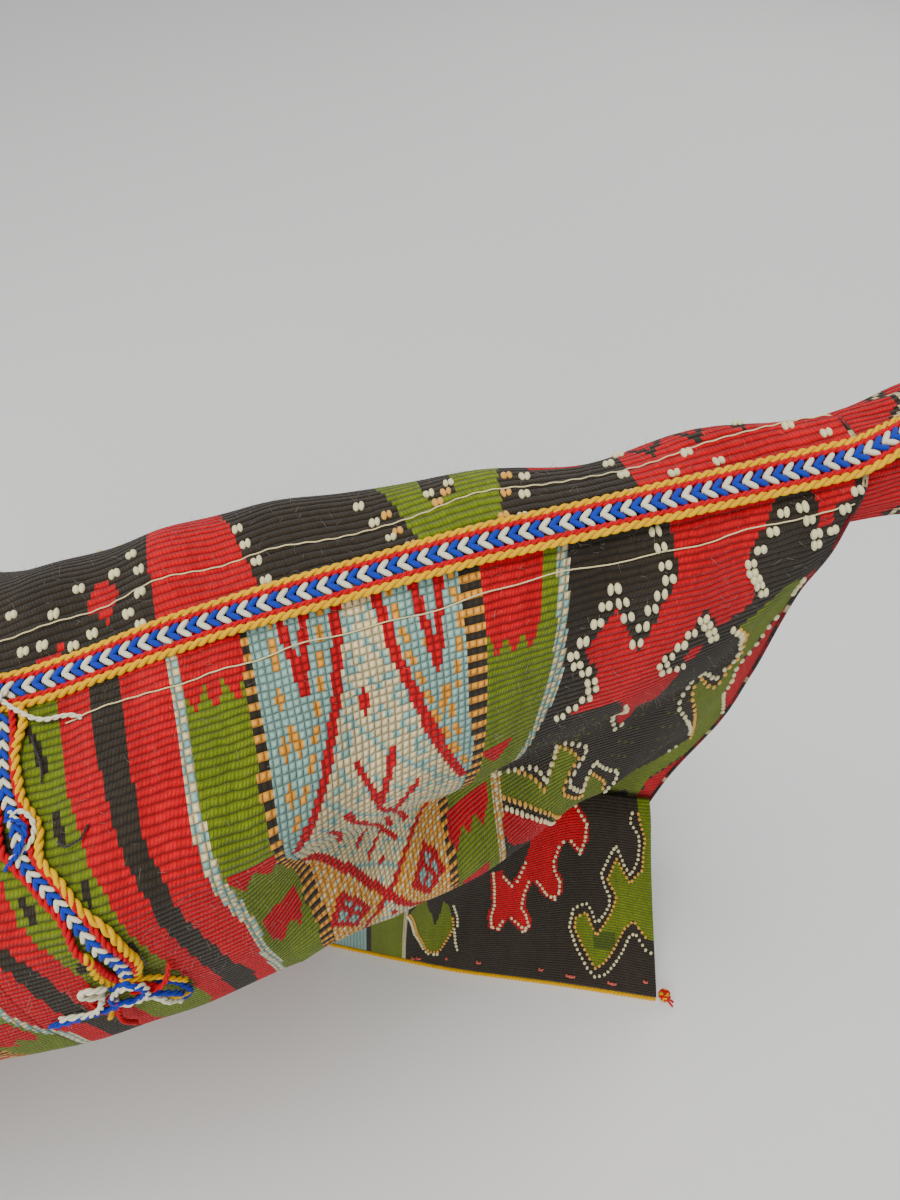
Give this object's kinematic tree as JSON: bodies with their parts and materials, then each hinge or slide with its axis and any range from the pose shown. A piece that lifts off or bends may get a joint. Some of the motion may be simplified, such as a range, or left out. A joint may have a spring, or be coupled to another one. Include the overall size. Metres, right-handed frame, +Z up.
{
  "type": "goblet drum in woven bag",
  "caption": "Goblet drum lying in a patterned woven carrying bag with a braided ridge, a loose flap and a gathered tail.",
  "frame": {"origin": "on the underside of the bag's base panel, near its middle", "axes": "+X along the braided ridge, from the open mouth to the tail; +Y to the back; +Z up"},
  "size_m": [0.6744, 0.2802, 0.5465],
  "materials": {
    "kilim": "weft-faced wool flat weave, ribbed, matt",
    "base_panel": "plain dark wool cloth, matt",
    "wool_padding": "undyed wool wadding in a plain cover",
    "braid": "plied wool and cotton yarn",
    "yellow_cord": "two-ply twisted yarn",
    "cast_aluminium": "cast, satin polished",
    "plated_steel": "bright plated",
    "drum_skin": "milky film, satin",
    "rubber": "moulded, matt"
  },
  "bodies": {
    "bag": {"bag_front": "kilim", "bag_back": "kilim", "bag_base": "base_panel", "bag_flap": "kilim", "bag_tail": "kilim", "padding_bed": "wool_padding", "ridge_braid": "braid", "girth_braid": "braid", "girth_knot": "braid", "hem_cord": "yellow_cord", "corner_knot": "yellow_cord", "mouth_cord": "yellow_cord"},
    "drum": {"drum_shell": "cast_aluminium", "drum_skin": "drum_skin", "tension_hoop": "plated_steel", "foot_ring": "rubber", "lug_1": "plated_steel", "lug_2": "plated_steel", "lug_3": "plated_steel", "lug_4": "plated_steel", "lug_5": "plated_steel", "lug_6": "plated_steel"},
    "bolt_1": {"tuning_bolt_1": "plated_steel"},
    "bolt_2": {"tuning_bolt_2": "plated_steel"},
    "bolt_3": {"tuning_bolt_3": "plated_steel"},
    "bolt_4": {"tuning_bolt_4": "plated_steel"},
    "bolt_5": {"tuning_bolt_5": "plated_steel"},
    "bolt_6": {"tuning_bolt_6": "plated_steel"}
  },
  "joints": [
    {"name": "drum_slide", "type": "slide", "parent": "bag", "child": "drum", "axis": [-1, 0, 0], "range_m": [0, 0.43]},
    {"name": "bolt_1_turn", "type": "hinge", "parent": "drum", "child": "bolt_1", "pos_m": [-0.318, 0.002, 0.4185], "axis": [1, 0, 0], "range_deg": [-360, 360]},
    {"name": "bolt_2_turn", "type": "hinge", "parent": "drum", "child": "bolt_2", "pos_m": [-0.318, -0.082, 0.467], "axis": [1, 0, 0], "range_deg": [-360, 360]},
    {"name": "bolt_3_turn", "type": "hinge", "parent": "drum", "child": "bolt_3", "pos_m": [-0.318, -0.166, 0.4185], "axis": [1, 0, 0], "range_deg": [-360, 360]},
    {"name": "bolt_4_turn", "type": "hinge", "parent": "drum", "child": "bolt_4", "pos_m": [-0.318, -0.166, 0.3215], "axis": [1, 0, 0], "range_deg": [-360, 360]},
    {"name": "bolt_5_turn", "type": "hinge", "parent": "drum", "child": "bolt_5", "pos_m": [-0.318, -0.082, 0.273], "axis": [1, 0, 0], "range_deg": [-360, 360]},
    {"name": "bolt_6_turn", "type": "hinge", "parent": "drum", "child": "bolt_6", "pos_m": [-0.318, 0.002, 0.3215], "axis": [1, 0, 0], "range_deg": [-360, 360]}
  ]
}
